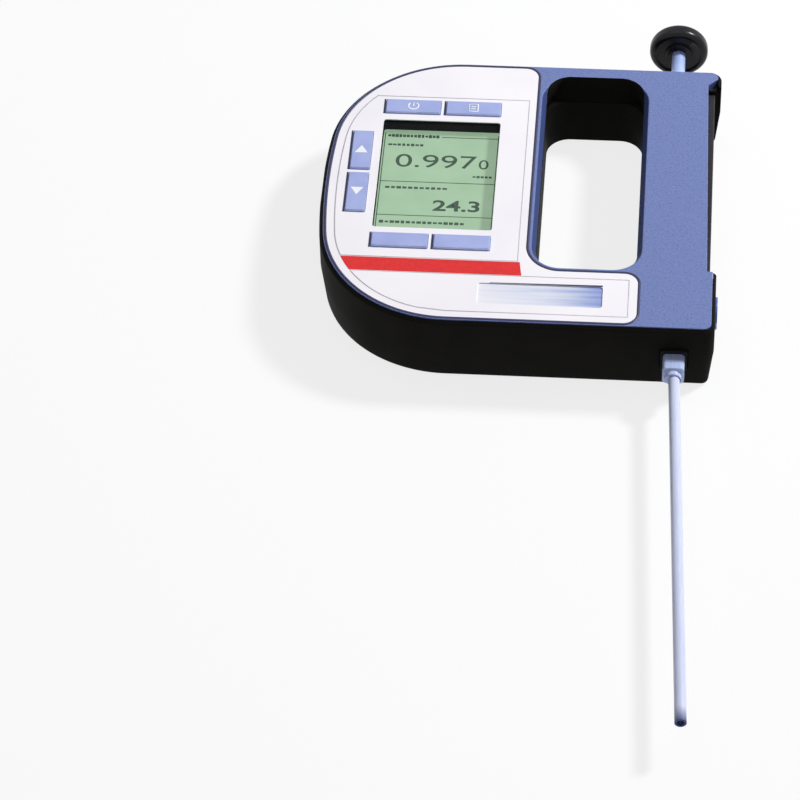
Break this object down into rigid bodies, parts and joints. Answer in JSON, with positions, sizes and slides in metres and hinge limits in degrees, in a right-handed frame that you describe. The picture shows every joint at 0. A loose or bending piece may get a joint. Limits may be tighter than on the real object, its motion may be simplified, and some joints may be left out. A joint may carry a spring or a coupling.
{
  "type": "portable density meter",
  "caption": "Flat handheld density meter with a D-shaped case, finger opening, display with keys, hand pump with knob and trigger, and a straight filling tube.",
  "frame": {"origin": "centre of the flat back face of the case, midway between its round flank and its handle side", "axes": "+Z out of the display, +Y towards the pump knob, +X towards the handle"},
  "size_m": [0.1416, 0.3234, 0.0288],
  "materials": {
    "case_black": "fine moulded grain",
    "cover_blue": "finely speckled blue-grey moulding",
    "label_white": "smooth printed sheet with thin lines and one red stripe",
    "key_blue": "smooth light blue moulding with white symbols",
    "rubber_black": "soft matt rubber",
    "steel": "bright turned steel",
    "brass": "turned brass",
    "battery_wrap": "plain printed wrap",
    "board_green": "coated circuit board",
    "lcd_green": "grey-green display with dark digits",
    "clear_pane": "clear hard pane",
    "cell_metal": "milled metal",
    "cell_glass": "clear glass tube",
    "copper_wire": "wound enamelled wire",
    "light_strip": "pale diffuser",
    "collar_grey": "dark grey moulding",
    "fitting_blue": "translucent blue moulding",
    "tube_clear": "translucent pale tube",
    "hose_clear": "translucent soft hose",
    "barrel_clear": "clear moulded cylinder",
    "piston_white": "turned white plastic",
    "knob_black": "smooth black moulding",
    "trigger_grey": "dark grey moulding"
  },
  "bodies": {
    "root": {"rear_case": "case_black", "front_cover": "cover_blue", "front_label": "label_white", "case_gasket": "rubber_black", "case_screws": "steel", "battery_cover": "case_black", "battery_cover_seal": "rubber_black", "battery_cover_screws": "steel", "batteries": "battery_wrap", "battery_contacts": "brass", "main_board": "board_green", "board_screws": "steel", "lcd_panel": "lcd_green", "lcd_frame": "case_black", "display_window": "clear_pane", "keypad_mat": "rubber_black", "cell_window": "clear_pane", "cell_block": "cell_metal", "u_tube": "cell_glass", "drive_magnet": "steel", "drive_coil": "copper_wire", "cell_backlight": "light_strip", "temperature_sensor": "steel", "inlet_collar": "collar_grey", "tube_fitting": "fitting_blue", "filling_tube": "tube_clear", "inlet_hose": "hose_clear", "outlet_hose": "hose_clear", "screw_plug": "fitting_blue", "plug_seal": "rubber_black", "retaining_screw": "fitting_blue", "pump_barrel": "barrel_clear", "barrel_cap": "collar_grey", "pump_spring": "steel", "rod_bush": "brass", "lock_pin": "steel", "lock_spring": "steel", "trigger_pin": "steel", "trigger_spring": "steel"},
    "plunger": {"pump_piston": "piston_white", "piston_ring": "rubber_black", "plunger_rod": "steel", "pump_knob": "knob_black"},
    "trigger": {"release_trigger": "trigger_grey"},
    "lock": {"lock_plate": "steel"},
    "key_power": {"key_power": "key_blue"},
    "key_light": {"key_light": "key_blue"},
    "key_up": {"key_up": "key_blue"},
    "key_down": {"key_down": "key_blue"},
    "key_left": {"key_left": "key_blue"},
    "key_right": {"key_right": "key_blue"}
  },
  "joints": [
    {"name": "plunger_slide", "type": "slide", "parent": "root", "child": "plunger", "axis": [0, -1, 0], "range_m": [0, 0.019], "stiffness_N_per_m": 150, "springref_m": -0.02, "deforming": ["pump_spring"]},
    {"name": "trigger_hinge", "type": "hinge", "parent": "root", "child": "trigger", "pos_m": [0.0658, -0.03475, 0.0155], "axis": [0, 0, 1], "range_deg": [0, 1.4], "stiffness_Nm_per_rad": 2, "springref_deg": -2.86, "deforming": ["trigger_spring"]},
    {"name": "lock_tilt", "type": "hinge", "parent": "root", "child": "lock", "pos_m": [0.0479, 0.05325, 0.0155], "axis": [0, 0, -1], "range_deg": [0, 4], "deforming": ["lock_spring"]},
    {"name": "key_power_press", "type": "slide", "parent": "root", "child": "key_power", "axis": [0, 0, -1], "range_m": [0, 0.0007], "stiffness_N_per_m": 300, "springref_m": -0.0005},
    {"name": "key_light_press", "type": "slide", "parent": "root", "child": "key_light", "axis": [0, 0, -1], "range_m": [0, 0.0007], "stiffness_N_per_m": 300, "springref_m": -0.0005},
    {"name": "key_up_press", "type": "slide", "parent": "root", "child": "key_up", "axis": [0, 0, -1], "range_m": [0, 0.0007], "stiffness_N_per_m": 300, "springref_m": -0.0005},
    {"name": "key_down_press", "type": "slide", "parent": "root", "child": "key_down", "axis": [0, 0, -1], "range_m": [0, 0.0007], "stiffness_N_per_m": 300, "springref_m": -0.0005},
    {"name": "key_left_press", "type": "slide", "parent": "root", "child": "key_left", "axis": [0, 0, -1], "range_m": [0, 0.0007], "stiffness_N_per_m": 300, "springref_m": -0.0005},
    {"name": "key_right_press", "type": "slide", "parent": "root", "child": "key_right", "axis": [0, 0, -1], "range_m": [0, 0.0007], "stiffness_N_per_m": 300, "springref_m": -0.0005}
  ],
  "couplings": [
    {"joint": "lock_tilt", "follows": "trigger_hinge", "ratio": 2.857}
  ]
}
